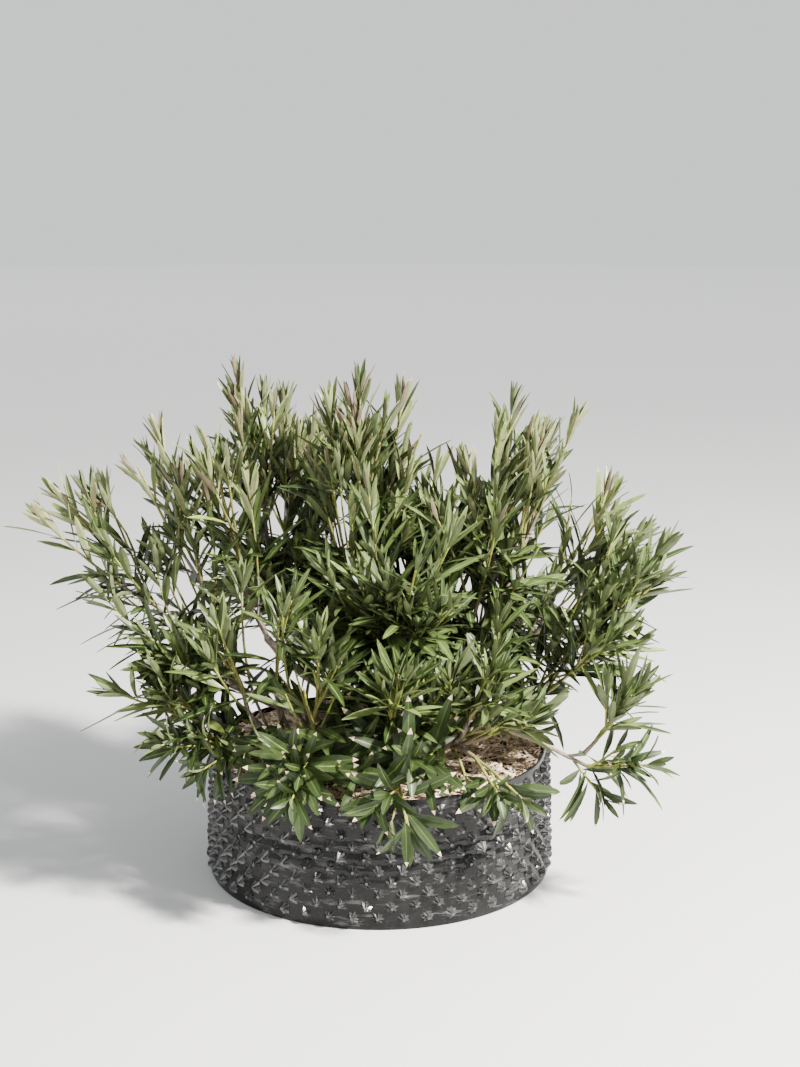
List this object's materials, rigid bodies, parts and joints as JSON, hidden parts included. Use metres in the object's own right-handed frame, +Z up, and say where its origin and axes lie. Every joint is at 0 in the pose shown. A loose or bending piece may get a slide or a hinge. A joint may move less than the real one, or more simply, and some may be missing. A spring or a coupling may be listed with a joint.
{
  "type": "potted oleander shrub",
  "caption": "Bushy many-stemmed evergreen shrub with long narrow leaves, in a low wide black air-pruning pot mulched with wood chips.",
  "frame": {"origin": "centre of the pot's flat underside", "axes": "+Z straight up out of the pot; +X to the right of the side that faces the viewer, along the crown's greatest spread; that side faces -Y"},
  "size_m": [1.3802, 0.9523, 1.0265],
  "materials": {
    "pot_plastic": "black semi-gloss sheet plastic",
    "wood_chips": "dry weathered wood chips over potting soil",
    "bark": "pale tan-grey bark",
    "foliage": "leathery leaves, dark green above and grey-olive below, on green young shoots"
  },
  "bodies": {
    "root": {"pot": "pot_plastic", "mulch": "wood_chips", "stump": "bark", "bough_left": "bark", "bough_left_rim": "bark", "bough_left_inner": "bark", "bough_tall": "bark", "bough_back_left": "bark", "bough_centre": "bark", "bough_centre_back": "bark", "bough_inner_right": "bark", "bough_right_tall": "bark", "bough_back_right": "bark", "bough_right": "bark", "bough_right_far": "bark", "bough_right_arc": "bark", "bough_front_left": "bark", "bough_front": "bark", "bough_front_right": "bark", "bough_front_inner": "bark", "bough_back_low": "bark", "foliage_left_far": "foliage", "foliage_left_tall": "foliage", "foliage_left_front": "foliage", "foliage_left_low": "foliage", "foliage_left_under": "foliage", "foliage_left_mid": "foliage", "foliage_left_inner_tall": "foliage", "foliage_tall_left": "foliage", "foliage_tall_right": "foliage", "foliage_top_back": "foliage", "foliage_back_left_mid": "foliage", "foliage_back_left_low": "foliage", "foliage_centre_left": "foliage", "foliage_centre_right": "foliage", "foliage_centre_back_left": "foliage", "foliage_centre_back_far": "foliage", "foliage_inner_right_tall": "foliage", "foliage_inner_right_front": "foliage", "foliage_right_tall_left": "foliage", "foliage_right_tall_right": "foliage", "foliage_back_right_top": "foliage", "foliage_back_right_low": "foliage", "foliage_right_top": "foliage", "foliage_right_shoulder": "foliage", "foliage_right_tip": "foliage", "foliage_right_side": "foliage", "foliage_arc_up": "foliage", "foliage_arc_low": "foliage", "foliage_front_left_up": "foliage", "foliage_front_left_rim": "foliage", "foliage_front_up": "foliage", "foliage_front_rim": "foliage", "foliage_front_right_up": "foliage", "foliage_right_spray": "foliage", "foliage_front_right_rim": "foliage", "foliage_front_inner_left": "foliage", "foliage_front_inner_right": "foliage", "foliage_back_low_left": "foliage", "foliage_back_low_right": "foliage"}
  },
  "joints": []
}
